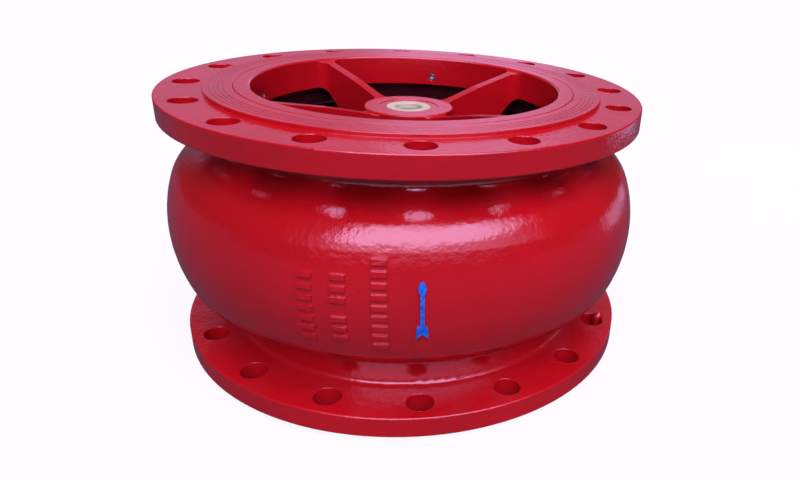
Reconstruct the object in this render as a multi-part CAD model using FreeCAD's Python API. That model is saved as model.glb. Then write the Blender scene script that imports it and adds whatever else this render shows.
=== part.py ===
import FreeCAD, Part
import math
import os

# Axial spring-loaded check valve with two flanges, standing on its inlet flange.
# Millimetres. Origin in the middle of the inlet face, +Z along the flow.

# ---- overall sizes
FACE_TO_FACE = 290.0        # inlet raised face to outlet raised face
BORE_R = 168.0              # clear radius inside the outlet guide ring
WALL = 14.0                 # belly wall

# ---- flanges, measured outwards from the bore
INSERT_LAND = 16.7          # width of the outlet guide ring's wall
RAISED_LAND = 29.8          # insert edge to raised face edge
BOLT_LAND = 50.3            # insert edge to bolt circle
RIM_LAND = 25.0             # bolt circle to flange rim
FLANGE_T = 26.5             # flange thickness with its raised face
RAISED_H = 4.0
BOLT_HOLES = 16
BOLT_HOLE_R = 14.0
HOLE_CHAMFER = 0.4
RIM_ROUND = 1.5
GROOVES = 4                 # fine ring grooves in each raised face
GROOVE_LAND = 10.0          # insert edge to the first groove
GROOVE_W = 1.0
GROOVE_D = 0.4
NECK_ROUND = 6.0            # flange back to neck

# ---- body
NECK_LAND = 20.3            # insert edge to neck outside
NECK_STEP = 6.7             # insert edge in to the neck bore
NECK_DRAFT = 0.5            # widening of the neck bore towards the belly
BELLY_LAND = 79.9           # insert edge to the belly crown
BELLY_SHIFT = 2.9           # belly crown above the middle of the body
BELLY_HALF = 88.6           # half the belly height where it meets the necks
SIDE_ANGLE = math.radians(20.0)
TUCK_ANGLE = math.radians(20.0)
CROWN_ROUND = 145.0
SHOULDER_ROUND = 52.0
TUCK_ROUND = 10.0
INSERT_DEPTH = 35.0         # counterbore for the outlet guide and the seat carrier
INSERT_GAP = 0.3
EDGE_CHAMFER = 0.8

# ---- outlet guide
RIBS = 4
RIB_T = 11.0
RIB_TURN = 35.0             # first rib, degrees from +X
RIB_DROP = 3.0              # rib top below the outlet face at the ring
RING_ROUND = 10.0           # plan rounding, rib to ring
HUB_ROUND = 20.0            # plan rounding, rib to hub
HUB_R = 50.0
HUB_DEPTH = 26.0            # hub top below the outlet face
HUB_LENGTH = 69.0           # hub top down to the spring shoulder
SPIGOT_R = 31.0
SPIGOT_L = 30.0             # spigot inside the spring
HUB_LIP_ROUND = 2.5
FACE_RELIEF_R = 33.0        # machined ring round the bush
FACE_RELIEF = 0.6

# ---- set screws
SET_R = 5.0
SET_L = 17.0
SET_DEPTH = 25.0            # screw axis from the flange face
SET_TURN = 76.8             # first screw, degrees from +X
SET_GAP = 0.05
SET_RECESS = 0.6
SET_HEX = 5.0               # across flats

# ---- shaft and bushes
SHAFT_R = 15.0
RUN_GAP = 0.06              # radial running fit of the shaft
SHAFT_RECESS = 6.0          # shaft end below the hub top
BUSH_R = 25.2
BUSH_L = 30.0
INNER_BUSH_R = 21.0
FIX_GAP = 0.05              # radial gap of pieces fixed in each other
SHAFT_CHAMFER = 1.5
STUD_R = 12.0               # thinner lower end of the shaft, through the disc

# ---- seat and its carrier
PORT_L = 16.0               # straight inlet port
PORT_TAPER = 20.0           # cone from the port to the seat bore
SEAT_TOP = 60.0
SEAT_STEP = 12.0            # seat bore inside the outlet bore
SEAT_W = 10.0
SEAT_H = 12.0
CARRIER_TOP = 56.0
ORING_Z = 12.0
ORING_R = 2.3
ORING_GAP = 0.15

# ---- disc
SEAT_GAP = 0.3              # seal above the seat when shut
STROKE = 60.0
STOP_GAP = 0.3
SEAL_T = 10.0
SEAL_LIP_T = 4.0
SEAL_LIP_W = 8.0
SEAL_OVER = 6.0             # seal wider than the seat ring bore, inwards
DISC_GAP = 5.0              # disc edge to the neck bore
RIM_LIP = 3.7
DISC_T = 15.0
DISC_FALL = 6.0             # plate gets thinner towards its edge
BOSS_R = 24.0
PLATE_T = 8.0
PLATE_SCREWS = 8
PLATE_SCREW_R = 4.0
PLATE_SCREW_AT = 110.0
HEAD_AF = 13.0
HEAD_H = 5.3
NUT_AF = 36.0
NUT_H = 21.5
WASHER_R = 22.0
WASHER_T = 4.0
PIN_R = 2.4
PIN_L = 36.0
STUD_END = 11.0             # stud below the nut
SHAFT_ORING_R = 1.5

# ---- spring
WIRE_R = 3.5
COIL_R = 40.0
TURNS = 5.5
CLOSED_TURNS = 1.0
SPRING_SEAT_H = 2.0         # land on the disc under the spring
SPRING_PLATE_T = 3.0
BODY_GAP = 0.3              # between pieces that turn or slide past each other

# ---- flow arrow and raised cast bars
RAISE = 2.2
ARROW_DROP = 30.5           # arrow's foot below the belly crown
ARROW_LEN = 61.5
ARROW_HEAD = (7.7, 11.0)    # width, length from the tip to the widest place
ARROW_BACK = 5.0            # from there back to the stem
ARROW_STEM_W = 3.7
ARROW_TAIL = (11.6, 9.4, 14.0)  # width at the foot, width at the shoulders, length
ARROW_SLOPE = 1.2           # fall of the shoulders
ARROW_NOTCH = 5.5
BAR = (13.6, 5.4)           # width round the belly, height
# each row of bars: degrees from +X, then its ends measured from the belly crown
BAR_ROWS = ((247.7, -38.4, 30.4), (254.2, -38.1, -6.9), (254.2, 2.2, 33.4), (262.0, -45.0, 48.6))
BAR_PITCH = 10.4

# ---- worked out from the sizes above
INSERT_R = BORE_R + INSERT_LAND
RAISED_R = INSERT_R + RAISED_LAND
BOLT_R = INSERT_R + BOLT_LAND
FLANGE_R = BOLT_R + RIM_LAND
NECK_R = INSERT_R + NECK_LAND
NECK_BORE_R = INSERT_R - NECK_STEP
BELLY_R = INSERT_R + BELLY_LAND
BELLY_MID = FACE_TO_FACE / 2 + BELLY_SHIFT
SEAT_BORE_R = BORE_R - SEAT_STEP
HUB_TOP = FACE_TO_FACE - HUB_DEPTH
HUB_SHOULDER = HUB_TOP - HUB_LENGTH
HUB_END = HUB_SHOULDER - SPIGOT_L
SEAL_Z = SEAT_TOP + SEAT_GAP
DISC_Z = SEAL_Z + SEAL_T
DISC_TOP = DISC_Z + DISC_T
BOSS_TOP = HUB_END - STROKE - STOP_GAP
DISC_R = NECK_BORE_R - DISC_GAP
SEAL_OUT_R = DISC_R - RIM_LIP
SEAL_IN_R = SEAT_BORE_R - SEAL_OVER
PLATE_Z = SEAL_Z + SEAL_T - SEAL_LIP_T - PLATE_T
SPRING_SEAT_Z = DISC_TOP + SPRING_SEAT_H
SPRING_SIDE = COIL_R + WIRE_R + 3.0
SPRING_Z = SPRING_SEAT_Z + BODY_GAP + SPRING_PLATE_T
SPRING_TOP = HUB_SHOULDER - SPRING_PLATE_T
SHAFT_TOP = HUB_TOP - SHAFT_RECESS

AXIS = FreeCAD.Vector(0, 0, 1)
ORIGIN = FreeCAD.Vector(0, 0, 0)


def vec(x, y, z):
    return FreeCAD.Vector(x, y, z)


def rounded_wire(corners):
    """Closed wire in the XZ plane through (radius, height, rounding) corners."""
    edges, first, last = [], None, None
    for i, (r, z, rounding) in enumerate(corners):
        here = vec(r, 0, z)
        before = vec(corners[i - 1][0], 0, corners[i - 1][1])
        after = vec(corners[(i + 1) % len(corners)][0], 0, corners[(i + 1) % len(corners)][1])
        back, ahead = (before - here).normalize(), (after - here).normalize()
        start = end = here
        if rounding > 0:
            half = back.getAngle(ahead) / 2
            start = here + back * (rounding / math.tan(half))
            end = here + ahead * (rounding / math.tan(half))
            middle = here + (back + ahead).normalize() * (rounding / math.sin(half) - rounding)
        if last is None:
            first = start
        elif last.distanceToPoint(start) > 1e-6:
            edges.append(Part.makeLine(last, start))
        if rounding > 0:
            edges.append(Part.Arc(start, middle, end).toShape())
        last = end
    if last.distanceToPoint(first) > 1e-6:
        edges.append(Part.makeLine(last, first))
    return Part.Wire(edges)


def turned(corners):
    """Solid turned about +Z from (radius, height[, rounding]) corners."""
    full = [(c[0], c[1], c[2] if len(c) > 2 else 0.0) for c in corners]
    solid = Part.Face(rounded_wire(full)).revolve(ORIGIN, AXIS, 360)
    return solid if solid.Volume > 0 else solid.reversed()


def tube(outer, inner, low, high, chamfer=0.0):
    """Ring with its four edges chamfered."""
    c = chamfer
    if c <= 0:
        return turned([(inner, low), (outer, low), (outer, high), (inner, high)])
    return turned([(inner + c, low), (outer - c, low), (outer, low + c), (outer, high - c),
                   (outer - c, high), (inner + c, high), (inner, high - c), (inner, low + c)])


def around(shape, count, first=0.0):
    """Copies of a shape spaced evenly about +Z."""
    copies = []
    for i in range(count):
        copy = shape.copy()
        copy.rotate(ORIGIN, AXIS, first + 360.0 * i / count)
        copies.append(copy)
    return copies


def hexagon(across, low, high):
    """Upright hexagonal prism on the axis."""
    corner = across / 2 / math.cos(math.pi / 6)
    points = [vec(corner * math.cos(math.radians(60 * i)), corner * math.sin(math.radians(60 * i)), low)
              for i in range(7)]
    return Part.Face(Part.makePolygon(points)).extrude(vec(0, 0, high - low))


def lying(shape, radius, height):
    """Moves a piece made up +Z from the origin so that it points outwards along +X."""
    shape = shape.copy()
    shape.rotate(ORIGIN, vec(0, 1, 0), 90)
    shape.translate(vec(radius, 0, height))
    return shape


def belly_corners(inset, neck):
    """Belly profile from the lower neck to the upper one, moved in by inset."""
    side, tuck = math.tan(SIDE_ANGLE), math.tan(TUCK_ANGLE)
    crown = BELLY_R - CROWN_ROUND + CROWN_ROUND / math.cos(SIDE_ANGLE) - inset / math.cos(SIDE_ANGLE)
    half = BELLY_HALF - inset / math.cos(TUCK_ANGLE)
    shoulder = (crown - side * half - NECK_R * side * tuck) / (1 - side * tuck)
    down = half - (shoulder - NECK_R) * tuck
    foot = half - (neck - NECK_R) * tuck
    soft = max(SHOULDER_ROUND - inset, 1.0)
    return [(neck, BELLY_MID - foot, TUCK_ROUND), (shoulder, BELLY_MID - down, soft),
            (crown, BELLY_MID, CROWN_ROUND - inset), (shoulder, BELLY_MID + down, soft),
            (neck, BELLY_MID + foot, TUCK_ROUND)]


def outside():
    """Whole outside of the body as a full solid."""
    top = FACE_TO_FACE
    return turned(
        [(0, 0), (RAISED_R, 0, EDGE_CHAMFER), (RAISED_R, RAISED_H), (FLANGE_R, RAISED_H, RIM_ROUND),
         (FLANGE_R, FLANGE_T, RIM_ROUND), (NECK_R, FLANGE_T, NECK_ROUND)]
        + belly_corners(0.0, NECK_R)
        + [(NECK_R, top - FLANGE_T, NECK_ROUND), (FLANGE_R, top - FLANGE_T, RIM_ROUND),
           (FLANGE_R, top - RAISED_H, RIM_ROUND), (RAISED_R, top - RAISED_H),
           (RAISED_R, top, EDGE_CHAMFER), (0, top)])


def face_grooves():
    """Cutter for the ring grooves of both raised faces."""
    pitch = (RAISED_LAND - GROOVE_LAND) / (GROOVES + 0.5)
    half, over = GROOVE_W / 2, 1.0
    rings = []
    for i in range(GROOVES):
        r = INSERT_R + GROOVE_LAND + i * pitch
        side = half * (1 + over / GROOVE_D)
        for face, way in ((0.0, 1), (FACE_TO_FACE, -1)):
            rings.append(turned([(r - side, face - way * over), (r + side, face - way * over),
                                 (r, face + way * GROOVE_D)]))
    return rings


def inside():
    """Hollow of the body, through both faces."""
    bore, top, over = INSERT_R + INSERT_GAP, FACE_TO_FACE, 1.0
    lead = EDGE_CHAMFER + over
    return turned(
        [(0, -over), (bore + lead, -over), (bore, EDGE_CHAMFER), (bore, INSERT_DEPTH),
         (NECK_BORE_R, INSERT_DEPTH)]
        + belly_corners(WALL, NECK_BORE_R + NECK_DRAFT)
        + [(NECK_BORE_R, top - INSERT_DEPTH), (bore, top - INSERT_DEPTH), (bore, top - EDGE_CHAMFER),
           (bore + lead, top + over), (0, top + over)])


def bolt_hole(low, high):
    """One chamfered bolt hole cutter, from face to face of a flange."""
    r, c, over = BOLT_HOLE_R, HOLE_CHAMFER, 1.0
    hole = turned([(0, low - over), (r + c + over, low - over), (r, low + c), (r, high - c),
                   (r + c + over, high + over), (0, high + over)])
    hole.translate(vec(BOLT_R, 0, 0))
    return hole


def dimple(height):
    """Pocket in the body for a set screw's point."""
    depth = SET_L + SET_RECESS + 1.5
    return lying(Part.makeCylinder(SET_R + 0.5, depth), BORE_R, height)


def belly_skin():
    """Thin shell that stands RAISE above the belly."""
    low, high = BELLY_MID - BELLY_HALF, BELLY_MID + BELLY_HALF
    full = turned([(0, low)] + belly_corners(-RAISE, NECK_R) + [(0, high)])
    return full


def cast_bars(skin):
    """Rows of plain raised bars on the belly."""
    bars = []
    for turn, low, high in BAR_ROWS:
        count = int((high - low) / BAR_PITCH + 0.5)
        for i in range(count):
            z = BELLY_MID + (low + high) / 2 + (i - (count - 1) / 2) * BAR_PITCH
            bar = Part.makeBox(WALL + 2 * RAISE, BAR[0], BAR[1],
                               vec(BELLY_R - WALL / 2 - RAISE, -BAR[0] / 2, z - BAR[1] / 2))
            bar.rotate(ORIGIN, AXIS, turn)
            bars.append(bar)
    return Part.makeCompound(bars).common(skin)


def valve_body(skin):
    """Body casting with its drilled flanges."""
    body = outside().fuse(cast_bars(skin)).cut(inside())
    top = FACE_TO_FACE
    cutters = around(bolt_hole(RAISED_H, FLANGE_T), BOLT_HOLES)
    cutters += around(bolt_hole(top - FLANGE_T, top - RAISED_H), BOLT_HOLES)
    cutters += around(dimple(SET_DEPTH), RIBS, SET_TURN)
    cutters += around(dimple(top - SET_DEPTH), RIBS, SET_TURN)
    return body.cut(Part.makeCompound(cutters + face_grooves()))


def flow_arrow(skin):
    """Slender raised arrow at the front of the belly, pointing up."""
    half_h, half_s = ARROW_HEAD[0] / 2, ARROW_STEM_W / 2
    foot = BELLY_MID - ARROW_DROP
    tip = foot + ARROW_LEN
    neck, tail = tip - ARROW_HEAD[1], foot + ARROW_TAIL[2]
    side = [(0, tip), (half_h, neck), (half_s, neck - ARROW_BACK), (half_s, tail),
            (ARROW_TAIL[1] / 2, tail - ARROW_SLOPE), (ARROW_TAIL[0] / 2, foot), (0, foot + ARROW_NOTCH)]
    points = side + [(-x, z) for x, z in reversed(side[1:-1])]
    points.append(points[0])
    plate = Part.Face(Part.makePolygon([vec(x, -BELLY_R - 2 * RAISE, z) for x, z in points]))
    return plate.extrude(vec(0, WALL, 0)).common(skin).cut(outside())


def window():
    """Rounded opening between two ribs, in plan, as a tall cutter."""
    side, ring, hub = RIB_T / 2, BORE_R, HUB_R
    fo, fi = RING_ROUND, HUB_ROUND
    out_x = math.sqrt((ring - fo) ** 2 - (side + fo) ** 2)
    in_x = math.sqrt((hub + fi) ** 2 - (side + fi) ** 2)
    out_c, in_c = vec(out_x, side + fo, 0), vec(in_x, side + fi, 0)
    out_turn, in_turn = math.atan2(out_c.y, out_c.x), math.atan2(in_c.y, in_c.x)
    on_ring = vec(ring * math.cos(out_turn), ring * math.sin(out_turn), 0)
    on_hub = vec(hub * math.cos(in_turn), hub * math.sin(in_turn), 0)
    half = (out_turn - math.pi / 2) / 2
    ring_mid = out_c + vec(math.cos(half), math.sin(half), 0) * fo
    half = (in_turn + 5 * math.pi / 2) / 2
    hub_mid = in_c + vec(math.cos(half), math.sin(half), 0) * fi

    def flip(p):
        return vec(p.y, p.x, 0)

    mid = math.sqrt(0.5)
    edges = [Part.makeLine(vec(in_x, side, 0), vec(out_x, side, 0)),
             Part.Arc(vec(out_x, side, 0), ring_mid, on_ring).toShape(),
             Part.Arc(on_ring, vec(ring * mid, ring * mid, 0), flip(on_ring)).toShape(),
             Part.Arc(flip(on_ring), flip(ring_mid), vec(side, out_x, 0)).toShape(),
             Part.makeLine(vec(side, out_x, 0), vec(side, in_x, 0)),
             Part.Arc(vec(side, in_x, 0), flip(hub_mid), flip(on_hub)).toShape(),
             Part.Arc(flip(on_hub), vec(hub * mid, hub * mid, 0), on_hub).toShape(),
             Part.Arc(on_hub, hub_mid, vec(in_x, side, 0)).toShape()]
    cutter = Part.Face(Part.Wire(edges)).extrude(vec(0, 0, FACE_TO_FACE))
    cutter.translate(vec(0, 0, HUB_END - SPIGOT_L))
    return cutter


def outlet_guide():
    """Ring, four ribs and the hub with its bush seats, in one casting."""
    top, low = FACE_TO_FACE, FACE_TO_FACE - INSERT_DEPTH + INSERT_GAP
    rib_top = top - RIB_DROP
    web = [(BORE_R, low), (0.82 * BORE_R, low - 0.63 * INSERT_DEPTH),
           (0.6 * BORE_R, HUB_SHOULDER + 12.0), (HUB_R + 6.0, HUB_SHOULDER + 1.0),
           (HUB_R, HUB_SHOULDER)]
    blank = turned(
        [(INSERT_R, low + EDGE_CHAMFER), (INSERT_R - EDGE_CHAMFER, low)] + web
        + [(SPIGOT_R, HUB_SHOULDER), (SPIGOT_R, HUB_END, 1.0), (SHAFT_R + 2.0, HUB_END),
           (SHAFT_R + 2.0, HUB_TOP), (HUB_R, HUB_TOP, HUB_LIP_ROUND),
           (HUB_R + 1.0, HUB_TOP - HUB_LIP_ROUND), (0.625 * BORE_R, top - 15.0, 20.0),
           (BORE_R - 2.0, rib_top), (BORE_R + 2.0, top, 2.0), (INSERT_R - EDGE_CHAMFER, top),
           (INSERT_R, top - EDGE_CHAMFER)])
    guide = blank.cut(Part.makeCompound(around(window(), RIBS, RIB_TURN)))
    seats = [Part.makeCylinder(BUSH_R + FIX_GAP, BUSH_L + 1, vec(0, 0, HUB_TOP - BUSH_L)),
             Part.makeCylinder(INNER_BUSH_R + FIX_GAP, BUSH_L + 1, vec(0, 0, HUB_END - 1)),
             Part.makeCylinder(FACE_RELIEF_R, HUB_DEPTH, vec(0, 0, HUB_TOP - FACE_RELIEF))]
    seats += around(lying(Part.makeCylinder(SET_R + SET_GAP, 2 * INSERT_LAND), BORE_R - 5,
                          top - SET_DEPTH), RIBS, SET_TURN)
    return guide.cut(Part.makeCompound(seats))


def set_screw(inner, height):
    """Socket set screw pointing outwards, its hex socket towards the bore."""
    chamfer = 0.8
    screw = turned([(0, 0), (SET_R - chamfer, 0), (SET_R, chamfer), (SET_R, SET_L - 2.5),
                    (SET_R - 2.5, SET_L), (0, SET_L)])
    screw = screw.cut(hexagon(SET_HEX, -1.0, 5.0))
    return lying(screw, inner + SET_RECESS, height)


def outlet_bush():
    """Bush at the outlet end of the hub, flush with the machined ring."""
    return tube(BUSH_R, SHAFT_R + RUN_GAP, HUB_TOP - BUSH_L + FIX_GAP, HUB_TOP - FACE_RELIEF, 0.7)


def inner_bush():
    """Bush at the inner end of the hub."""
    return tube(INNER_BUSH_R, SHAFT_R + RUN_GAP, HUB_END + 1.0, HUB_END + BUSH_L - FIX_GAP, 0.7)


def seat_carrier():
    """Ring let in the inlet: the straight port, a cone, and the pocket of the seat ring."""
    low_top = INSERT_DEPTH - INSERT_GAP
    carrier = turned(
        [(BORE_R + EDGE_CHAMFER, 0), (INSERT_R - EDGE_CHAMFER, 0), (INSERT_R, EDGE_CHAMFER),
         (INSERT_R, low_top), (NECK_BORE_R - 0.5, low_top), (NECK_BORE_R - 0.5, CARRIER_TOP, 1.5),
         (SEAT_BORE_R + SEAT_W + FIX_GAP, CARRIER_TOP),
         (SEAT_BORE_R + SEAT_W + FIX_GAP, SEAT_TOP - SEAT_H - FIX_GAP),
         (SEAT_BORE_R, SEAT_TOP - SEAT_H - FIX_GAP), (SEAT_BORE_R, PORT_L + PORT_TAPER, 12.0),
         (BORE_R, PORT_L), (BORE_R, EDGE_CHAMFER)])
    groove = tube(INSERT_R + 1, INSERT_R + INSERT_GAP - 2 * ORING_R - 2 * ORING_GAP, ORING_Z - ORING_R - 1,
                  ORING_Z + ORING_R + 1)
    holes = around(lying(Part.makeCylinder(SET_R + SET_GAP, 60), SEAT_BORE_R - 5, SET_DEPTH),
                   RIBS, SET_TURN)
    return carrier.cut(Part.makeCompound([groove] + holes))


def seat_ring():
    """Turned ring with a narrow land that the seal shuts on."""
    low = SEAT_TOP - SEAT_H
    return turned([(SEAT_BORE_R, low), (SEAT_BORE_R + SEAT_W, low),
                   (SEAT_BORE_R + SEAT_W, SEAT_TOP, 2.0), (SEAT_BORE_R, SEAT_TOP, 2.0)])


def carrier_oring():
    """Round ring in the seat carrier's groove."""
    return Part.makeTorus(INSERT_R + INSERT_GAP - ORING_R - ORING_GAP, ORING_R, vec(0, 0, ORING_Z))


def disc():
    """Disc casting: plate, rim lip over the seal and the long boss."""
    land = SPRING_SIDE + 3.0
    blank = turned(
        [(0, DISC_Z), (SEAL_OUT_R + FIX_GAP, DISC_Z), (SEAL_OUT_R + FIX_GAP, SEAL_Z + 2.0),
         (DISC_R, SEAL_Z + 2.0, 1.2), (DISC_R, DISC_TOP - DISC_FALL, 3.0), (land + 2.0, DISC_TOP, 8.0),
         (land, SPRING_SEAT_Z, 0.8), (BOSS_R, SPRING_SEAT_Z), (BOSS_R, BOSS_TOP, 1.5), (0, BOSS_TOP)])
    holes = [Part.makeCylinder(STUD_R + FIX_GAP, BOSS_TOP, vec(0, 0, DISC_Z / 2))]
    deep = DISC_T - DISC_FALL - 1.0
    screw_hole = Part.makeCylinder(PLATE_SCREW_R + FIX_GAP, deep + 1, vec(PLATE_SCREW_AT, 0, DISC_Z - 1))
    holes += around(screw_hole, PLATE_SCREWS, 180.0 / PLATE_SCREWS)
    return blank.cut(Part.makeCompound(holes))


def disc_seal():
    """Rubber ring with a lip that the plate clamps."""
    lip = SEAL_IN_R - SEAL_LIP_W
    step = DISC_Z - SEAL_LIP_T
    return turned([(SEAL_IN_R, SEAL_Z, 1.0), (SEAL_OUT_R, SEAL_Z, 1.0), (SEAL_OUT_R, DISC_Z - FIX_GAP),
                   (lip, DISC_Z - FIX_GAP), (lip, step), (SEAL_IN_R, step)])


def seal_plate():
    """Round plate that clamps the seal under the disc."""
    lip = SEAL_IN_R - SEAL_LIP_W
    step = DISC_Z - SEAL_LIP_T - FIX_GAP
    blank = turned([(STUD_R + FIX_GAP, PLATE_Z), (SEAL_IN_R - 0.3, PLATE_Z, 3.0), (SEAL_IN_R - 0.3, step),
                    (lip - 0.3, step), (lip - 0.3, DISC_Z - FIX_GAP), (STUD_R + FIX_GAP, DISC_Z - FIX_GAP)])
    hole = Part.makeCylinder(PLATE_SCREW_R + 0.4, DISC_Z, vec(PLATE_SCREW_AT, 0, PLATE_Z - 1))
    return blank.cut(Part.makeCompound(around(hole, PLATE_SCREWS, 180.0 / PLATE_SCREWS)))


def plate_screw():
    """Hexagon screw, head down."""
    low = PLATE_Z - HEAD_H - FIX_GAP
    end = DISC_Z + DISC_T - DISC_FALL - 2.0
    head = hexagon(HEAD_AF, low, PLATE_Z - FIX_GAP)
    dome = turned([(0, low), (HEAD_AF / 2 - 0.5, low), (HEAD_AF, low + 3.5), (HEAD_AF, PLATE_Z),
                   (0, PLATE_Z)])
    shank = Part.makeCylinder(PLATE_SCREW_R, end - low - 1, vec(0, 0, low + 1))
    screw = head.common(dome).fuse(shank).removeSplitter()
    screw.translate(vec(PLATE_SCREW_AT, 0, 0))
    return screw


def shaft():
    """Shaft with its thinner lower end through the disc, plate, washer and nut."""
    c = SHAFT_CHAMFER
    low = PLATE_Z - WASHER_T - NUT_H - STUD_END
    blank = turned([(0, low), (STUD_R - c, low), (STUD_R, low + c), (STUD_R, BOSS_TOP + FIX_GAP),
                    (SHAFT_R, BOSS_TOP + FIX_GAP), (SHAFT_R, SHAFT_TOP - c), (SHAFT_R - c, SHAFT_TOP),
                    (0, SHAFT_TOP)])
    middle = BOSS_TOP - 3 * SHAFT_ORING_R - 2
    groove = tube(STUD_R + 1, STUD_R - 1.8, middle - SHAFT_ORING_R - 0.4, middle + SHAFT_ORING_R + 0.4)
    centre = turned([(0, SHAFT_TOP + 1), (3.5, SHAFT_TOP + 1), (0, SHAFT_TOP - 4)])
    pin = Part.makeCylinder(PIN_R + 0.1, 4 * STUD_R, vec(-2 * STUD_R, 0, low + STUD_END / 2), vec(1, 0, 0))
    return blank.cut(Part.makeCompound([groove, centre, pin]))


def shaft_oring():
    """Small round ring that seals the shaft in the boss."""
    middle = BOSS_TOP - 3 * SHAFT_ORING_R - 2
    radius = 0.85
    return Part.makeTorus(STUD_R - 0.9, radius, vec(0, 0, middle))


def shaft_washer():
    """Thick washer under the nut."""
    return tube(WASHER_R, STUD_R + 0.4, PLATE_Z - WASHER_T, PLATE_Z - FIX_GAP, 0.5)


def shaft_nut():
    """Hexagon nut on the lower end of the shaft."""
    high = PLATE_Z - WASHER_T - FIX_GAP
    low = high - NUT_H
    corner = NUT_AF / 2
    faces = turned([(STUD_R + FIX_GAP, low), (corner - 0.5, low), (corner + 4, low + 2.6),
                    (corner + 4, high - 2.6), (corner - 0.5, high), (STUD_R + FIX_GAP, high)])
    return hexagon(NUT_AF, low, high).common(faces)


def lock_pin():
    """Split pin with a looped head across the end of the shaft."""
    z = PLATE_Z - WASHER_T - NUT_H - STUD_END / 2
    stem = Part.makeCylinder(PIN_R, PIN_L, vec(-PIN_L / 2, 0, z), vec(1, 0, 0))
    eye = Part.makeTorus(1.7 * PIN_R, 0.7 * PIN_R, vec(-PIN_L / 2 - 1.5 * PIN_R, 0, z), vec(0, 1, 0))
    return stem.fuse(eye).removeSplitter()


def spring():
    """Closing spring with closed ends, from the disc to the plate under the hub."""
    low, high = SPRING_Z + FIX_GAP + WIRE_R, SPRING_TOP - FIX_GAP - WIRE_R
    pitch = 2 * WIRE_R * 1.04
    open_turns = TURNS - 2 * CLOSED_TURNS
    rise = high - low - 2 * CLOSED_TURNS * pitch
    points, per_turn = [], 16
    for i in range(int(TURNS * per_turn) + 1):
        turn = i / per_turn
        middle = min(max(turn - CLOSED_TURNS, 0.0), open_turns)
        z = low + pitch * (turn - middle) + rise * middle / open_turns
        angle = 2 * math.pi * turn
        points.append(vec(COIL_R * math.cos(angle), COIL_R * math.sin(angle), z))
    curve = Part.BSplineCurve()
    curve.interpolate(points)
    path = Part.Wire([curve.toShape()])
    ring = Part.Wire([Part.makeCircle(WIRE_R, points[0], curve.tangent(curve.FirstParameter)[0])])
    return path.makePipeShell([ring], True, True)


def spring_plate():
    """Washer between the spring and the hub."""
    return tube(SPRING_SIDE, SPIGOT_R + BODY_GAP, SPRING_TOP, HUB_SHOULDER - FIX_GAP, 0.4)


def spring_foot():
    """Washer that carries the spring on the disc and lets the disc turn under it."""
    return tube(SPRING_SIDE, BOSS_R + BODY_GAP, SPRING_SEAT_Z + BODY_GAP, SPRING_Z, 0.4)


def save(name, shape):
    """Writes one node."""
    shape.exportStep(os.path.join("parts", name + ".step"))


def main():
    os.makedirs("parts", exist_ok=True)
    skin = belly_skin()
    save("valve_body", valve_body(skin))
    save("flow_arrow", flow_arrow(skin))
    save("outlet_guide", outlet_guide())
    outlet_screw = set_screw(BORE_R, FACE_TO_FACE - SET_DEPTH)
    save("outlet_guide_screws", Part.makeCompound(around(outlet_screw, RIBS, SET_TURN)))
    save("outlet_bush", outlet_bush())
    save("inner_bush", inner_bush())
    save("seat_carrier", seat_carrier())
    carrier_screw = set_screw(BORE_R, SET_DEPTH)
    save("seat_carrier_screws", Part.makeCompound(around(carrier_screw, RIBS, SET_TURN)))
    save("seat_ring", seat_ring())
    save("seat_carrier_oring", carrier_oring())
    save("disc", disc())
    save("disc_seal", disc_seal())
    save("seal_plate", seal_plate())
    screws = around(plate_screw(), PLATE_SCREWS, 180.0 / PLATE_SCREWS)
    save("seal_plate_screws", Part.makeCompound(screws))
    save("shaft", shaft())
    save("shaft_oring", shaft_oring())
    save("shaft_washer", shaft_washer())
    save("shaft_nut", shaft_nut())
    save("shaft_lock_pin", lock_pin())
    save("spring", spring())
    save("spring_plate", spring_plate())
    save("spring_foot", spring_foot())


main()
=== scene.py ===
import math

import bmesh
import bpy
from bpy.props import FloatProperty, FloatVectorProperty, IntProperty, PointerProperty
from mathutils import Matrix, Vector


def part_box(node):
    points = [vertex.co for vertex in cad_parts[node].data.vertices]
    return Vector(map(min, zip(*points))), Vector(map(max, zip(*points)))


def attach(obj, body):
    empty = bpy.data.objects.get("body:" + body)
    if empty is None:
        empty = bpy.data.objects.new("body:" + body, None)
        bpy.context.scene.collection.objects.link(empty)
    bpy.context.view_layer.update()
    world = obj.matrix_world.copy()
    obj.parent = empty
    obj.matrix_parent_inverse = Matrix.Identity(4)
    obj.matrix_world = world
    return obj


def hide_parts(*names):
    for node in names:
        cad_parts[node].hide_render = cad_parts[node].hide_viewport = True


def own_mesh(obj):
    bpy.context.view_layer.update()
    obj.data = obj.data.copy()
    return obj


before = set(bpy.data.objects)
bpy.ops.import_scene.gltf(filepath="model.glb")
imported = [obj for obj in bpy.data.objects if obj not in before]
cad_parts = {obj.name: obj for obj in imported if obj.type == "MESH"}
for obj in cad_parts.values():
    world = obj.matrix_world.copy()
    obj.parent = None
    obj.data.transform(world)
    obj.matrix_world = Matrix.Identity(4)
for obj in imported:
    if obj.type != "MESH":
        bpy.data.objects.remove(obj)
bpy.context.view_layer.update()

bl_info = {
    "name": "Axial Check Valve",
    "version": (1, 0, 0),
    "blender": (4, 5, 0),
    "location": "3D View > Sidebar > Valve",
    "description": "Paints and finishes a double-flanged axial check valve around its packed frame",
    "category": "Object",
}

VALVE = "valve"
MM = 0.001

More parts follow.
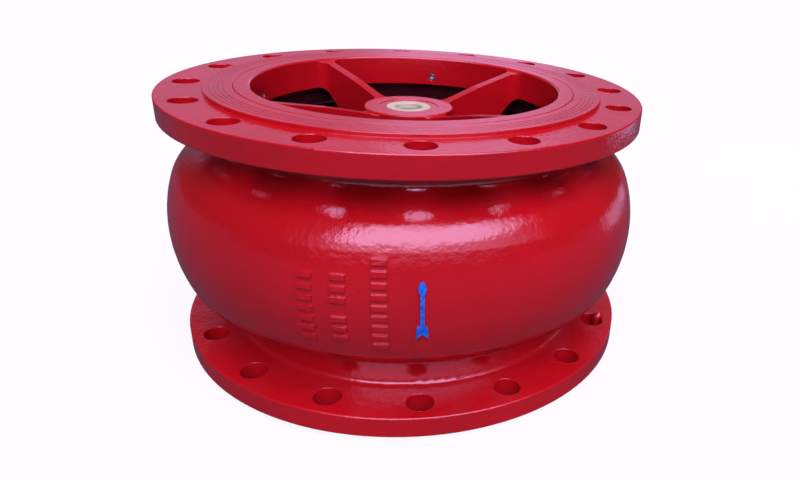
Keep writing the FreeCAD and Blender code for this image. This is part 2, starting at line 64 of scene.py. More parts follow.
# Soft panels all round. Four values are where one starts, is full, is still full and ends;
# two values are where it is nothing and where it is full. Turns are radians from the front,
# + to the right, and heights are sines of the elevation.
PANEL_TURN = (-0.76, -0.60, 0.65, 1.5)
PANEL_LEAN = (0.34, 0.50)      # lower edge, which rises towards the right
PANEL_SLOPE = -0.2             # that rise, taken off the height
PANEL_TOP = (0.95, 0.86)
GLOW_TURN = (-1.05, -0.45, 0.6, 1.3)
GLOW_HEIGHT = (0.10, 0.34, 0.5, 0.8)
CAP_HEIGHT = (0.895, 0.925)
# Behind, turns are radians from the back, + to the right.
RIM_TURN = (-0.75, -0.25, 0.38, 0.55)
RIM_SHARE = 0.28
SPOT_TURN = (-0.02, 0.04, 0.18, 0.32)
SPOT_SHARE = 0.32
RIM_TOP = (0.60, 0.30)

FLOOR_HALF = 14.0
FLOOR_SHADE = 0.14             # share of the floor's own shading in what the camera sees
CARD_PLACE = (1.15, 0.40, 0.10)
CARD_TARGET = (0.2, 0.0, 0.25)
CARD_SIZE = (0.6, 0.22)

CAMERA_PLACE = (-0.0327, -0.7799, 0.4446)
CAMERA_YAW = math.radians(10.98)
CAMERA_PITCH = math.radians(25.95)
CAMERA_ROLL = math.radians(3.54)
CAMERA_SHIFT = (-0.1267, 0.0322)


# ---------------------------------------------------------------- settings

def colour(name, description, default):
    return FloatVectorProperty(name=name, description=description, default=default,
                               subtype="COLOR", size=3, min=0.0, max=1.0)


def length(name, description, default):
    return FloatProperty(name=name, description=description, default=default, unit="LENGTH", min=0.0)


def share(name, description, default, top=1.0):
    return FloatProperty(name=name, description=description, default=default, min=0.0, max=top)


class ValvePaint(bpy.types.PropertyGroup):
    """Colours and gloss of the painted castings."""
    red: colour("Red", "Epoxy coat where it is thick", (0.51, 0.0055, 0.0105))
    deep_red: colour("Deep red", "Epoxy coat where it is thin", (0.45, 0.0045, 0.0085))
    # painted shade: near-black colour laid on the body's inside, where the chamber lies in shade
    painted_inner_shade: colour("Primer", "Dark primer inside the body", (0.035, 0.006, 0.008))
    blue: colour("Arrow blue", "Brushed paint on the flow arrow", (0.002, 0.115, 0.46))
    # painted shade in part: the disc's black coat is also kept this dark to stand in for the shade in the
    # chamber
    black: colour("Disc coat", "Black coat on the disc casting", (0.012, 0.012, 0.014))
    dust: colour("Dust", "Dust that settles on faces turned up", (0.62, 0.50, 0.48))
    gloss: share("Roughness", "Roughness of the epoxy coat", 0.13)
    peel_size: length("Peel size", "Width of one bump of the orange peel", 0.0046)
    peel_height: length("Peel height", "Height of the orange peel", 0.00026)
    grain_size: length("Grain size", "Width of the casting's lumps under the paint", 0.017)
    grain_height: length("Grain height", "Height of the casting's lumps", 0.00055)


class ValveMetal(bpy.types.PropertyGroup):
    """Colours of the bare pieces."""
    steel: colour("Steel", "Turned stainless steel", (0.36, 0.38, 0.40))
    zinc: colour("Zinc", "Zinc on the screws and the nut", (0.62, 0.65, 0.70))
    bronze: colour("Bronze", "Turned bronze of the seat ring", (0.60, 0.38, 0.16))
    wire: colour("Spring wire", "Drawn wire of the closing spring", (0.36, 0.37, 0.38))
    cream: colour("Bush", "Cream polymer of the bushes", (0.60, 0.66, 0.36))
    rubber: colour("Rubber", "Black rubber of the seal and the round rings", (0.018, 0.018, 0.019))


class ValveSpring(bpy.types.PropertyGroup):
    """Sizes of the closing spring."""
    wire_radius: length("Wire radius", "Half the wire's thickness", 0.0035)
    coil_radius: length("Coil radius", "Axis to the middle of the wire", 0.040)
    turns: FloatProperty(name="Turns", description="All turns, closed ends included",
                         default=5.5, min=2.5)
    closed: FloatProperty(name="Closed turns", description="Closed turns at each end",
                          default=1.0, min=0.5)
    sides: IntProperty(name="Wire sides", description="Faces round the wire", default=20, min=8)


class PaintRun(bpy.types.PropertyGroup):
    """Place and size of the run of paint on the lower flange."""
    bolt_circle: length("Bolt circle", "Radius of the circle that the hole is on", 0.235)
    flange: length("Flange", "Height of the flange's back over the face", 0.0265)
    size: length("Size", "Half the thickness of the lump", 0.0048)
    hole: FloatProperty(name="Hole", description="Place of the hole, degrees from +X", default=-22.5)
    side: FloatProperty(name="Side", description="Way the lump lies from the hole, degrees from +X",
                        default=33.0)


class ValveStudio(bpy.types.PropertyGroup):
    """Floor, lights and camera."""
    floor_tone: share("Floor tone", "How pale the floor looks", 0.90)
    floor_bounce: share("Floor bounce", "How much light the floor throws back on the valve", 0.095)
    surround: share("Surround", "Dim light from all round", 0.035, 10.0)
    roof: share("Front panel", "Wide soft light high in front", 6.0, 50.0)
    window: share("Front glow", "Soft light low in front", 1.3, 50.0)
    cap: share("Roof light", "Soft light right above", 3.6, 50.0)
    rim: share("Rim light", "Cool light low behind", 1.9, 50.0)
    card: FloatProperty(name="Card", description="Small light low at the right", default=0.5,
                        unit="POWER", min=0.0)
    cool: colour("Cool light", "Colour of the light in front and above", (0.80, 0.58, 1.0))
    violet: colour("Rim colour", "Colour of the light behind and at the right", (0.62, 0.44, 0.80))
    lens: FloatProperty(name="Lens", description="Focal length", default=30.594, unit="CAMERA", min=1.0)


# ---------------------------------------------------------------- node helpers

class Graph:
    """Short way to add and join nodes in one node tree."""

    def __init__(self, tree):
        self.tree = tree
        self.at = 0

    def add(self, kind, inputs=None, **settings):
        node = self.tree.nodes.new(kind)
        self.at += 1
        node.location = (-220 * (self.at % 12), -190 * (self.at // 12))
        for key, value in settings.items():
            setattr(node, key, value)
        for key, value in (inputs or {}).items():
            self.feed(value, node.inputs[key])
        return node

    def feed(self, value, socket):
        if isinstance(value, bpy.types.NodeSocket):
            self.tree.links.new(value, socket)
        else:
            socket.default_value = value

    def math(self, operation, a, b=0.0, c=0.0, clamp=False):
        node = self.add("ShaderNodeMath", {0: a, 1: b, 2: c}, operation=operation, use_clamp=clamp)
        return node.outputs[0]

    def spread(self, value, low, high):
        """Smooth step from 0 at low to 1 at high."""
        node = self.add("ShaderNodeMapRange", {0: value, 1: low, 2: high, 3: 0.0, 4: 1.0},
                        interpolation_type="SMOOTHSTEP")
        return node.outputs[0]

    def span(self, value, start, full, still_full, end):
        """1 from full to still_full, with a smooth step on each side."""
        return self.math("MULTIPLY", self.spread(value, start, full), self.spread(value, end, still_full))

    def noise(self, vector, scale, detail=2.0, roughness=0.5):
        node = self.add("ShaderNodeTexNoise", {"Vector": vector, "Scale": scale, "Detail": detail,
                                               "Roughness": roughness})
        return node.outputs[0]

    def mix(self, factor, a, b, blend="MIX"):
        node = self.add("ShaderNodeMix", {0: factor, 6: a, 7: b}, data_type="RGBA", blend_type=blend)
        return node.outputs[2]

    def place(self):
        return self.add("ShaderNodeTexCoord").outputs["Object"]

    def split(self, vector):
        return self.add("ShaderNodeSeparateXYZ", {0: vector}).outputs

    def radius(self, vector):
        """Distance from the valve's axis."""
        parts = self.split(vector)
        flat = self.add("ShaderNodeCombineXYZ", {0: parts[0], 1: parts[1]}).outputs[0]
        return self.add("ShaderNodeVectorMath", {0: flat}, operation="LENGTH").outputs["Value"]


def effect(name, sockets_in, sockets_out, build):
    """Makes a shared shader node group once."""
    if name in bpy.data.node_groups:
        return bpy.data.node_groups[name]
    tree = bpy.data.node_groups.new(name, "ShaderNodeTree")
    for label, kind, default in sockets_in:
        socket = tree.interface.new_socket(name=label, in_out="INPUT", socket_type=kind)
        if default is not None:
            socket.default_value = default
    for label, kind in sockets_out:
        tree.interface.new_socket(name=label, in_out="OUTPUT", socket_type=kind)
    graph = Graph(tree)
    ins = graph.add("NodeGroupInput").outputs
    outs = graph.add("NodeGroupOutput").inputs
    for label, value in build(graph, ins).items():
        graph.feed(value, outs[label])
    return tree


FLOAT, COLOUR, VECTOR = "NodeSocketFloat", "NodeSocketColor", "NodeSocketVector"


def orange_peel():
    """Fine wavy skin of sprayed epoxy."""
    def build(g, ins):
        scale = g.math("DIVIDE", 1.0, ins["Size"])
        broad = g.noise(ins["Vector"], scale, 1.0, 0.4)
        fine = g.noise(ins["Vector"], g.math("MULTIPLY", scale, 2.7), 1.0, 0.4)
        both = g.math("MULTIPLY_ADD", fine, 0.35, broad)
        return {"Height": g.math("MULTIPLY", both, ins["Amount"])}
    return effect("Orange peel", [("Vector", VECTOR, None), ("Size", FLOAT, 0.004),
                                  ("Amount", FLOAT, 1.0)], [("Height", FLOAT)], build)


def casting_grain():
    """Low lumps of a sand casting under its paint."""
    def build(g, ins):
        scale = g.math("DIVIDE", 1.0, ins["Size"])
        lumps = g.noise(ins["Vector"], scale, 3.0, 0.45)
        broad = g.noise(ins["Vector"], g.math("MULTIPLY", scale, 0.3), 1.0, 0.4)
        height = g.math("MULTIPLY_ADD", broad, 2.0, lumps)
        return {"Height": g.math("MULTIPLY", height, ins["Amount"])}
    return effect("Casting grain", [("Vector", VECTOR, None), ("Size", FLOAT, 0.017),
                                    ("Amount", FLOAT, 1.0)], [("Height", FLOAT)], build)


def turning_marks():
    """Rings that a lathe tool leaves round the axis."""
    def build(g, ins):
        parts = g.split(ins["Vector"])
        across = g.math("ADD", g.radius(ins["Vector"]), parts[2])
        shake = g.math("MULTIPLY", g.noise(ins["Vector"], 60.0, 1.0), ins["Shake"])
        turns = g.math("DIVIDE", g.math("ADD", across, shake), ins["Spacing"])
        wave = g.math("SINE", g.math("MULTIPLY", turns, math.tau))
        drift = g.noise(ins["Vector"], 25.0, 2.0)
        return {"Height": g.math("MULTIPLY", g.math("MULTIPLY", wave, drift), ins["Amount"])}
    return effect("Turning marks", [("Vector", VECTOR, None), ("Spacing", FLOAT, 0.0008),
                                    ("Shake", FLOAT, 0.0), ("Amount", FLOAT, 1.0)],
                  [("Height", FLOAT)], build)


def tone_drift():
    """Slow change between two tones of one finish."""
    def build(g, ins):
        slow = g.noise(ins["Vector"], g.math("DIVIDE", 1.0, ins["Size"]), 3.0, 0.55)
        mask = g.spread(slow, 0.32, 0.72)
        return {"Color": g.mix(mask, ins["First"], ins["Second"]), "Mask": mask}
    return effect("Tone drift", [("Vector", VECTOR, None), ("Size", FLOAT, 0.08),
                                 ("First", COLOUR, None), ("Second", COLOUR, None)],
                  [("Color", COLOUR), ("Mask", FLOAT)], build)


def settled_dust():
    """Mask of fine dust on faces turned up."""
    def build(g, ins):
        up = g.split(g.add("ShaderNodeNewGeometry").outputs["Normal"])[2]
        flat = g.spread(up, 0.55, 1.0)
        specks = g.spread(g.noise(ins["Vector"], 420.0, 4.0, 0.7), 0.50, 0.78)
        patches = g.spread(g.noise(ins["Vector"], 22.0, 3.0), 0.40, 0.75)
        both = g.math("MULTIPLY_ADD", specks, 0.6, patches)
        return {"Mask": g.math("MULTIPLY", g.math("MULTIPLY", both, flat), ins["Amount"], clamp=True)}
    return effect("Settled dust", [("Vector", VECTOR, None), ("Amount", FLOAT, 0.1)],
                  [("Mask", FLOAT)], build)


def soft_edges():
    """Rounded normal at sharp edges and a mask of where they are."""
    def build(g, ins):
        rounded = g.add("ShaderNodeBevel", {"Radius": ins["Radius"]}, samples=4).outputs[0]
        plain = g.add("ShaderNodeNewGeometry").outputs["Normal"]
        same = g.add("ShaderNodeVectorMath", {0: rounded, 1: plain},
                     operation="DOT_PRODUCT").outputs["Value"]
        return {"Normal": rounded, "Mask": g.spread(same, 0.995, 0.90)}
    return effect("Soft edges", [("Radius", FLOAT, 0.0008)],
                  [("Normal", VECTOR), ("Mask", FLOAT)], build)


def material(name):
    """Empty material with a Principled shader, and its graph."""
    made = bpy.data.materials.new(name)
    made.use_nodes = True
    made.node_tree.nodes.clear()
    g = Graph(made.node_tree)
    out = g.add("ShaderNodeOutputMaterial")
    shader = g.add("ShaderNodeBsdfPrincipled")
    g.feed(shader.outputs[0], out.inputs[0])
    return made, g, shader


def use(g, tree, **values):
    """Places a shared group and sets its named inputs."""
    node = g.add("ShaderNodeGroup", node_tree=tree)
    for key, value in values.items():
        g.feed(value, node.inputs[key])
    return node.outputs


def rgba(values):
    return (values[0], values[1], values[2], 1.0)


def bump(g, height, normal):
    """Normal of a raised finish whose height is in metres."""
    return g.add("ShaderNodeBump", {"Height": height, "Strength": 1.0, "Distance": 1.0,
                                    "Normal": normal}).outputs[0]


def inner_faces(g, place):
    """Mask of the body's inside, between the two inserts and turned to the axis."""
    normal = g.add("ShaderNodeNewGeometry").outputs["Normal"]
    out = g.add("ShaderNodeVectorMath", {0: place, 1: (1.0, 1.0, 0.0)}, operation="MULTIPLY").outputs[0]
    out = g.add("ShaderNodeVectorMath", {0: out}, operation="NORMALIZE").outputs[0]
    facing = g.add("ShaderNodeVectorMath", {0: out, 1: normal}, operation="DOT_PRODUCT").outputs["Value"]
    z = g.split(place)[2]
    low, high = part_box("seat_carrier")[1].z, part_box("valve_body")[1].z
    between = g.math("MULTIPLY", g.spread(z, 0.55 * low, 0.60 * low),
                     g.spread(z, high - 0.55 * low, high - 0.60 * low))
    return g.math("MULTIPLY", g.spread(facing, -0.02, -0.12), between)


def coat(name, first, second, rough, lumps=1.0, peel=1.0, inside=None, dust=0.015):
    """Sprayed epoxy over a casting."""
    paint = bpy.context.scene.valve_paint
    made, g, shader = material(name)
    place = g.place()
    tone = use(g, tone_drift(), Vector=place, Size=0.13, First=rgba(first), Second=rgba(second))
    edges = use(g, soft_edges(), Radius=0.9 * MM)
    grain = use(g, casting_grain(), Vector=place, Size=paint.grain_size,
                Amount=paint.grain_height * lumps)
    skin = use(g, orange_peel(), Vector=place, Size=paint.peel_size, Amount=paint.peel_height * peel)
    dusty = use(g, settled_dust(), Vector=place, Amount=dust)
    thin = rgba([min(1.0, v * 1.12 + 0.012) for v in first])
    base = g.mix(g.math("MULTIPLY", edges["Mask"], 0.35), tone["Color"], thin)
    if inside:
        # painted shade: the inside faces between the two inserts take the near-black colour
        base = g.mix(inner_faces(g, place), base, rgba(inside))
        # painted shade: the ring grooves of both gasket faces are darkened to a deep red
        painted_groove_shade = rgba([v * 0.3 for v in second])
        base = g.mix(g.math("MULTIPLY", groove_shade(g, place), 0.8), base, painted_groove_shade)
    g.feed(g.mix(dusty["Mask"], base, rgba(paint.dust)), shader.inputs["Base Color"])
    gloss = g.math("MULTIPLY_ADD", tone["Mask"], 0.05, rough)
    g.feed(g.math("MULTIPLY_ADD", dusty["Mask"], 0.5, gloss), shader.inputs["Roughness"])
    height = g.math("ADD", grain["Height"], skin["Height"])
    g.feed(bump(g, height, edges["Normal"]), shader.inputs["Normal"])
    shader.inputs["Specular IOR Level"].default_value = 0.95
    return made


def groove_shade(g, place):
    """Mask of painted shade in the ring grooves of both gasket faces."""
    low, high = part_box("valve_body")
    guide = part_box("outlet_guide")[1].x
    r, z = g.radius(place), g.split(place)[2]
    top = g.math("MULTIPLY", g.spread(z, high.z - 0.04 * MM, high.z - 0.22 * MM),
                 g.spread(z, high.z - 0.9 * MM, high.z - 0.6 * MM))
    under = g.math("MULTIPLY", g.spread(z, low.z + 0.04 * MM, low.z + 0.22 * MM),
                   g.spread(z, low.z + 0.9 * MM, low.z + 0.6 * MM))
    face = g.math("MULTIPLY", g.spread(r, guide + 3 * MM, guide + 5 * MM),
                  g.spread(r, guide + 28 * MM, guide + 26 * MM))
    return g.math("MULTIPLY", g.math("ADD", top, under), face)


def bare_metal(name, tint, rough, spacing, marks, dust=0.02):
    """Turned or rolled metal with tool rings and faint stains."""
    made, g, shader = material(name)
    place = g.place()
    dark = [v * 0.72 for v in tint]
    tone = use(g, tone_drift(), Vector=place, Size=0.02, First=rgba(tint), Second=rgba(dark))
    rings = use(g, turning_marks(), Vector=place, Spacing=spacing, Shake=0.1 * MM, Amount=marks)
    edges = use(g, soft_edges(), Radius=0.4 * MM)
    dusty = use(g, settled_dust(), Vector=place, Amount=dust)
    bright = rgba([min(1.0, v * 1.2) for v in tint])
    worn = g.mix(g.math("MULTIPLY", edges["Mask"], 0.5), tone["Color"], bright)
    g.feed(g.mix(dusty["Mask"], worn, rgba(bpy.context.scene.valve_paint.dust)),
           shader.inputs["Base Color"])
    scratch = g.noise(place, 900.0, 2.0)
    g.feed(g.math("MULTIPLY_ADD", scratch, 0.16, rough), shader.inputs["Roughness"])
    g.feed(bump(g, rings["Height"], edges["Normal"]), shader.inputs["Normal"])
    shader.inputs["Metallic"].default_value = 1.0
    return made


def moulded(name, tint, rough, size, height, sheen=0.0):
    """Polymer or rubber with a fine skin."""
    made, g, shader = material(name)
    place = g.place()
    dark = [v * 0.80 for v in tint]
    tone = use(g, tone_drift(), Vector=place, Size=0.015, First=rgba(tint), Second=rgba(dark))
    skin = use(g, orange_peel(), Vector=place, Size=size, Amount=height)
    rings = use(g, turning_marks(), Vector=place, Spacing=0.6 * MM, Shake=0.05 * MM, Amount=0.01 * MM)
    edges = use(g, soft_edges(), Radius=0.4 * MM)
    dusty = use(g, settled_dust(), Vector=place, Amount=0.04)
    g.feed(g.mix(dusty["Mask"], tone["Color"], rgba(bpy.context.scene.valve_paint.dust)),
           shader.inputs["Base Color"])
    g.feed(g.math("MULTIPLY_ADD", tone["Mask"], 0.1, rough), shader.inputs["Roughness"])
    height = g.math("ADD", skin["Height"], rings["Height"])
    g.feed(bump(g, height, edges["Normal"]), shader.inputs["Normal"])
    shader.inputs["Sheen Weight"].default_value = sheen
    return made


def dress(nodes, made):
    """Gives CAD nodes a material."""
    for name in nodes:
        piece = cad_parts[name]
        piece.data.materials.clear()
        piece.data.materials.append(made)


# ---------------------------------------------------------------- pieces

class VALVE_OT_body(bpy.types.Operator):
    """Paint the body casting red, with painted shade that makes its inside near black"""
    bl_idname = "valve.body"
    bl_label = "Valve Body"

    def execute(self, context):
        paint = context.scene.valve_paint
        made = coat("red epoxy on the body", paint.red, paint.deep_red, paint.gloss, inside=paint.painted_inner_shade)
        dress(["valve_body"], made)
        return {"FINISHED"}


class VALVE_OT_guide(bpy.types.Operator):
    """Paint the outlet guide and the seat carrier, which are smoother than the body"""
    bl_idname = "valve.guide"
    bl_label = "Guide and Carrier"

    def execute(self, context):
        paint = context.scene.valve_paint
        made = coat("red epoxy on the inserts", paint.red, paint.deep_red, paint.gloss + 0.03,
                    lumps=0.45, peel=0.8)
        dress(["outlet_guide", "seat_carrier"], made)
        return {"FINISHED"}


class VALVE_OT_arrow(bpy.types.Operator):
    """Paint the flow arrow blue up to its tip"""
    bl_idname = "valve.arrow"
    bl_label = "Flow Arrow"

    def execute(self, context):
        paint = context.scene.valve_paint
        made, g, shader = material("blue brush paint on the arrow")
        place = g.place()
        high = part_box("flow_arrow")[1].z
        ragged = g.math("MULTIPLY_ADD", g.noise(place, 500.0, 3.0), 1.6 * MM, g.split(place)[2])
        tip = g.spread(ragged, high - 3.4 * MM, high - 2.8 * MM)
        light = [min(1.0, v * 2.1 + 0.01) for v in paint.blue]
        tone = use(g, tone_drift(), Vector=place, Size=3.5 * MM, First=rgba(paint.blue),
                   Second=rgba(light))
        g.feed(g.mix(tip, tone["Color"], rgba(paint.red)), shader.inputs["Base Color"])
        strokes = g.noise(place, 1400.0, 3.0, 0.6)
        g.feed(g.math("MULTIPLY_ADD", strokes, 0.15, 0.26), shader.inputs["Roughness"])
        skin = use(g, orange_peel(), Vector=place, Size=1.4 * MM, Amount=0.12 * MM)
        edges = use(g, soft_edges(), Radius=0.7 * MM)
        g.feed(bump(g, skin["Height"], edges["Normal"]), shader.inputs["Normal"])
        shader.inputs["Coat Weight"].default_value = 0.4
        shader.inputs["Coat Roughness"].default_value = 0.1
        dress(["flow_arrow"], made)
        return {"FINISHED"}


class VALVE_OT_fasteners(bpy.types.Operator):
    """Finish the set screws, the plate screws, the nut and its lock pin"""
    bl_idname = "valve.fasteners"
    bl_label = "Screws and Nut"

    def execute(self, context):
        metal = context.scene.valve_metal
        made = bare_metal("bright zinc on screws", metal.zinc, 0.24, 0.5 * MM, 0.008 * MM)
        dress(["outlet_guide_screws", "seat_carrier_screws", "seal_plate_screws", "shaft_nut",
               "shaft_lock_pin"], made)
        return {"FINISHED"}


class VALVE_OT_bushes(bpy.types.Operator):
    """Finish the two cream guide bushes"""
    bl_idname = "valve.bushes"
    bl_label = "Guide Bushes"

    def execute(self, context):
        metal = context.scene.valve_metal
        made = moulded("cream polymer of the bushes", metal.cream, 0.38, 1.2 * MM, 0.02 * MM)
        dress(["outlet_bush", "inner_bush"], made)
        return {"FINISHED"}


class VALVE_OT_seat(bpy.types.Operator):
    """Finish the seat ring and the carrier's round ring"""
    bl_idname = "valve.seat"
    bl_label = "Seat"

    def execute(self, context):
        metal = context.scene.valve_metal
        bronze = bare_metal("turned bronze of the seat", metal.bronze, 0.28, 0.45 * MM, 0.012 * MM)
        dress(["seat_ring"], bronze)
        rubber = moulded("black rubber", metal.rubber, 0.55, 0.7 * MM, 0.03 * MM, sheen=0.15)
        dress(["seat_carrier_oring", "disc_seal", "shaft_oring"], rubber)
        return {"FINISHED"}


class VALVE_OT_disc(bpy.types.Operator):
    """Coat the disc casting black"""
    bl_idname = "valve.disc"
    bl_label = "Disc"

    def execute(self, context):
        paint = context.scene.valve_paint
        # painted shade in part: the black stands for the disc's coat and for the shade it lies in inside
        # the chamber
        deep = [v * 0.6 for v in paint.black]
        made = coat("black coat on the disc", paint.black, deep, 0.34, lumps=0.8, peel=0.6)
        dress(["disc"], made)
        return {"FINISHED"}


class VALVE_OT_shaft(bpy.types.Operator):
    """Finish the shaft, its washer, the seal plate and the spring washers"""
    bl_idname = "valve.shaft"
    bl_label = "Shaft and Plates"

    def execute(self, context):
        metal = context.scene.valve_metal
        made = bare_metal("turned stainless", metal.steel, 0.22, 0.55 * MM, 0.010 * MM)
        dress(["shaft", "shaft_washer", "seal_plate", "spring_plate", "spring_foot"], made)
        return {"FINISHED"}


def swept(path, radii, sides, low=-math.inf, high=math.inf):
    """Mesh of a round bar of changing thickness along a path, flat where it meets low or high."""
    mesh = bmesh.new()
    rings = []
    last = len(path) - 1
    for i, here in enumerate(path):
        ahead = (path[min(i + 1, last)] - path[max(i - 1, 0)]).normalized()
        out = Vector((here.x, here.y, 0.0)).normalized()
        up = ahead.cross(out).normalized()
        out = up.cross(ahead).normalized()
        ring = []
        for side in range(sides):
            turn = math.tau * side / sides
            point = here + (out * math.cos(turn) + up * math.sin(turn)) * radii[i]
            point.z = min(max(point.z, low), high)
            ring.append(mesh.verts.new(point))
        rings.append(ring)
    for before, after in zip(rings, rings[1:]):
        for side in range(sides):
            nxt = (side + 1) % sides
            mesh.faces.new((before[side], before[nxt], after[nxt], after[side]))
    mesh.faces.new(rings[0][::-1])
    mesh.faces.new(rings[-1])
    bmesh.ops.recalc_face_normals(mesh, faces=mesh.faces)
    for face in mesh.faces:
        face.smooth = True
    return mesh


def coil(low, high, spring):
    """Mesh of a spring with closed, ground ends."""
    wire, radius = spring.wire_radius, spring.coil_radius
    first, last = low + wire, high - wire
    pitch = 2.08 * wire
    working = spring.turns - 2 * spring.closed
    rise = last - first - 2 * spring.closed * pitch
    steps = int(spring.turns * 40)
    path = []
    for step in range(steps + 1):
        turn = spring.turns * step / steps
        open_part = min(max(turn - spring.closed, 0.0), working)
        z = first + pitch * (turn - open_part) + rise * open_part / working
        angle = math.tau * turn
        path.append(Vector((radius * math.cos(angle), radius * math.sin(angle), z)))
    return swept(path, [wire] * len(path), spring.sides, low, high)


def piece_from(mesh, name, made, body):
    """Object from a mesh in work, riding on a body."""
    data = bpy.data.meshes.new(name)
    mesh.to_mesh(data)
    mesh.free()
    data.materials.append(made)
    piece = bpy.data.objects.new(name, data)
    bpy.context.scene.collection.objects.link(piece)
    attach(piece, body)
    return piece


class VALVE_OT_spring(bpy.types.Operator):
    """Wind the closing spring between its foot and its plate"""
    bl_idname = "valve.spring"
    bl_label = "Closing Spring"

    def execute(self, context):
        metal, spring = context.scene.valve_metal, context.scene.valve_spring
        low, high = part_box("spring_foot")[1].z + 0.03 * MM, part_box("spring_plate")[0].z - 0.03 * MM
        made = bare_metal("drawn spring wire", metal.wire, 0.30, 1.1 * MM, 0.006 * MM)
        piece = piece_from(coil(low, high, spring), "closing_spring", made, VALVE)
        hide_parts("spring")
        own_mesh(piece)
        return {"FINISHED"}


class VALVE_OT_paint_run(bpy.types.Operator):
    """Let a thick run of paint hang over the edge of one hole of the lower flange"""
    bl_idname = "valve.paint_run"
    bl_label = "Paint Run"

    def execute(self, context):
        run = context.scene.valve_run
        turn = math.radians(run.hole)
        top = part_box("valve_body")[0].z + run.flange
        centre = Vector((run.bolt_circle * math.cos(turn), run.bolt_circle * math.sin(turn), top))
        side = math.radians(run.side)
        out = Vector((math.cos(side), math.sin(side), 0.0))
        size = run.size
        # distance from the hole's axis, height over the flange and thickness, all in lump sizes
        steps = ((4.1, -0.35, 0.30), (3.9, -0.1, 0.62), (3.5, 0.22, 0.92), (3.0, 0.42, 1.08),
                 (2.5, 0.32, 1.10), (2.12, -0.15, 1.02), (1.95, -0.9, 0.86), (1.92, -1.8, 0.70),
                 (1.95, -2.7, 0.56), (2.0, -3.4, 0.46), (2.03, -3.9, 0.26))
        path = [centre + out * (away * size) + Vector((0, 0, rise * size)) for away, rise, _ in steps]
        mesh = swept(path, [thick * size for _, _, thick in steps], 20)
        paint = context.scene.valve_paint
        made = coat("red epoxy run", paint.red, paint.deep_red, paint.gloss, lumps=0.3)
        piece = piece_from(mesh, "paint_run", made, VALVE)
        smooth = piece.modifiers.new("smooth lump", "SUBSURF")
        smooth.levels = smooth.render_levels = 1
        return {"FINISHED"}


# ---------------------------------------------------------------- stage

def seen_or_else(g, seen, otherwise):
    """Shader that the camera sees directly, and another one for all other light."""
    direct = g.add("ShaderNodeLightPath").outputs["Is Camera Ray"]
    return g.add("ShaderNodeMixShader", {0: direct, 1: otherwise, 2: seen}).outputs[0]


def floor_piece(studio):
    """Wide flat floor."""
    mesh = bmesh.new()
    signs = ((-1, -1), (1, -1), (1, 1), (-1, 1))
    mesh.faces.new([mesh.verts.new((x * FLOOR_HALF, y * FLOOR_HALF, 0.0)) for x, y in signs])
    data = bpy.data.meshes.new("studio_floor")
    mesh.to_mesh(data)
    mesh.free()
    made = bpy.data.materials.new("pale studio floor")
    made.use_nodes = True
    made.node_tree.nodes.clear()
    g = Graph(made.node_tree)
    glow = g.add("ShaderNodeEmission", {"Color": (1.0, 1.0, 1.0, 1.0), "Strength": 1.0})
    pale = g.add("ShaderNodeBsdfDiffuse", {"Color": rgba((studio.floor_tone,) * 3)})
    seen = g.add("ShaderNodeMixShader", {0: FLOOR_SHADE, 1: glow.outputs[0], 2: pale.outputs[0]})
    bounce = g.add("ShaderNodeBsdfDiffuse", {"Color": rgba((studio.floor_bounce,) * 3)})
    out = g.add("ShaderNodeOutputMaterial")
    g.feed(seen_or_else(g, seen.outputs[0], bounce.outputs[0]), out.inputs[0])
    data.materials.append(made)
    piece = bpy.data.objects.new("studio_floor", data)
    bpy.context.scene.collection.objects.link(piece)


def tinted(g, strength, tint):
    """Colour of a light with a strength and a tint."""
    grey = g.add("ShaderNodeCombineColor", {0: strength, 1: strength, 2: strength}).outputs[0]
    return g.mix(1.0, grey, rgba(tint), "MULTIPLY")


def surround(studio):
    """White to the camera; a dim room with soft panels to everything else."""
    world = bpy.data.worlds.new("studio surround")
    world.use_nodes = True
    world.node_tree.nodes.clear()
    g = Graph(world.node_tree)
    x, y, z = g.split(g.add("ShaderNodeTexCoord").outputs["Generated"])
    turn = g.math("ARCTAN2", x, g.math("MULTIPLY", y, -1.0))
    leaning = g.math("MULTIPLY_ADD", g.math("MAXIMUM", turn, 0.0), PANEL_SLOPE, z)
    height = g.math("MULTIPLY", g.spread(leaning, *PANEL_LEAN), g.spread(z, *PANEL_TOP))
    panel = g.math("MULTIPLY", g.span(turn, *PANEL_TURN), height)
    glow = g.math("MULTIPLY", g.span(turn, *GLOW_TURN), g.span(z, *GLOW_HEIGHT))
    cap = g.math("MULTIPLY", g.spread(z, *CAP_HEIGHT), studio.cap)
    front = g.math("MAXIMUM", g.math("MULTIPLY", panel, studio.roof),
                   g.math("MULTIPLY", glow, studio.window))
    front = tinted(g, g.math("MAXIMUM", front, cap), studio.cool)
    aside = g.math("ARCTAN2", x, y)
    spot = g.math("MULTIPLY", g.span(aside, *SPOT_TURN), SPOT_SHARE)
    behind = g.math("MULTIPLY_ADD", g.span(aside, *RIM_TURN), RIM_SHARE, spot)
    behind = g.math("MULTIPLY", behind, g.math("MULTIPLY", g.spread(z, *RIM_TOP), studio.rim))
    lit = g.mix(1.0, rgba((studio.surround,) * 3), front, "ADD")
    lit = g.mix(1.0, lit, tinted(g, behind, studio.violet), "ADD")
    white = g.add("ShaderNodeBackground", {0: (1.0, 1.0, 1.0, 1.0), 1: 1.0}).outputs[0]
    room = g.add("ShaderNodeBackground", {0: lit, 1: 1.0}).outputs[0]
    out = g.add("ShaderNodeOutputWorld")
    g.feed(seen_or_else(g, white, room), out.inputs[0])
    bpy.context.scene.world = world


def area_light(name, place, target, size, power):
    """Rectangular soft light that looks at a point."""
    data = bpy.data.lights.new(name, "AREA")
    data.shape = "RECTANGLE"
    data.size, data.size_y = size
    data.energy = power
    lamp = bpy.data.objects.new(name, data)
    bpy.context.scene.collection.objects.link(lamp)
    lamp.visible_camera = False
    lamp.location = place
    lamp.rotation_mode = "QUATERNION"
    lamp.rotation_quaternion = (Vector(target) - Vector(place)).to_track_quat("-Z", "Y")
    return data


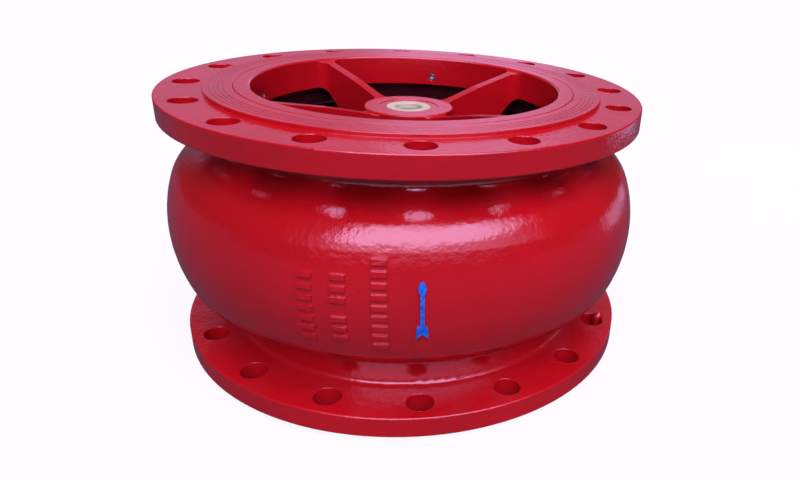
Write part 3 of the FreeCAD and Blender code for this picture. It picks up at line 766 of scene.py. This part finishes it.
def camera_at(place, yaw, pitch, roll, lens, shift):
    """Camera with a turn from +Y, a tilt down and a roll."""
    ahead = Vector((math.sin(yaw) * math.cos(pitch), math.cos(yaw) * math.cos(pitch), -math.sin(pitch)))
    level = ahead.cross(Vector((0, 0, 1))).normalized()
    upright = level.cross(ahead)
    right = level * math.cos(roll) + upright * math.sin(roll)
    up = upright * math.cos(roll) - level * math.sin(roll)
    data = bpy.data.cameras.new("studio_camera")
    data.lens, data.sensor_width = lens, 36.0
    data.shift_x, data.shift_y = shift
    camera = bpy.data.objects.new("studio_camera", data)
    bpy.context.scene.collection.objects.link(camera)
    camera.matrix_world = Matrix.Translation(place) @ Matrix((right, up, -ahead)).transposed().to_4x4()
    bpy.context.scene.camera = camera


class VALVE_OT_stage(bpy.types.Operator):
    """Set out the floor, the soft lights and the camera"""
    bl_idname = "valve.stage"
    bl_label = "Studio Stage"

    def execute(self, context):
        studio = context.scene.valve_studio
        floor_piece(studio)
        surround(studio)
        card = area_light("right_card", CARD_PLACE, CARD_TARGET, CARD_SIZE, studio.card)
        card.color = studio.violet
        context.scene.view_settings.view_transform = "Standard"
        camera_at(Vector(CAMERA_PLACE), CAMERA_YAW, CAMERA_PITCH, CAMERA_ROLL, studio.lens,
                  CAMERA_SHIFT)
        return {"FINISHED"}


ORDER = (VALVE_OT_body, VALVE_OT_guide, VALVE_OT_arrow, VALVE_OT_fasteners, VALVE_OT_bushes,
         VALVE_OT_seat, VALVE_OT_disc, VALVE_OT_shaft, VALVE_OT_spring, VALVE_OT_paint_run,
         VALVE_OT_stage)
SETTINGS = (("valve_paint", ValvePaint), ("valve_metal", ValveMetal), ("valve_spring", ValveSpring),
            ("valve_run", PaintRun), ("valve_studio", ValveStudio))


class VALVE_PT_sidebar(bpy.types.Panel):
    """Buttons that finish each group of pieces"""
    bl_idname = "VALVE_PT_sidebar"
    bl_label = "Axial Check Valve"
    bl_space_type = "VIEW_3D"
    bl_region_type = "UI"
    bl_category = "Valve"

    def draw(self, context):
        for step in ORDER:
            self.layout.operator(step.bl_idname)
        for name, group in SETTINGS:
            box = self.layout.box()
            for key in group.__annotations__:
                box.prop(getattr(context.scene, name), key)


def register():
    for name, group in SETTINGS:
        bpy.utils.register_class(group)
        setattr(bpy.types.Scene, name, PointerProperty(type=group))
    for step in ORDER:
        bpy.utils.register_class(step)
    bpy.utils.register_class(VALVE_PT_sidebar)


def unregister():
    bpy.utils.unregister_class(VALVE_PT_sidebar)
    for step in reversed(ORDER):
        bpy.utils.unregister_class(step)
    for name, group in reversed(SETTINGS):
        delattr(bpy.types.Scene, name)
        bpy.utils.unregister_class(group)


def main():
    register()
    for step in ORDER:
        family, action = step.bl_idname.split(".")
        getattr(getattr(bpy.ops, family), action)()
    bpy.context.view_layer.update()


if __name__ == "__main__":
    main()
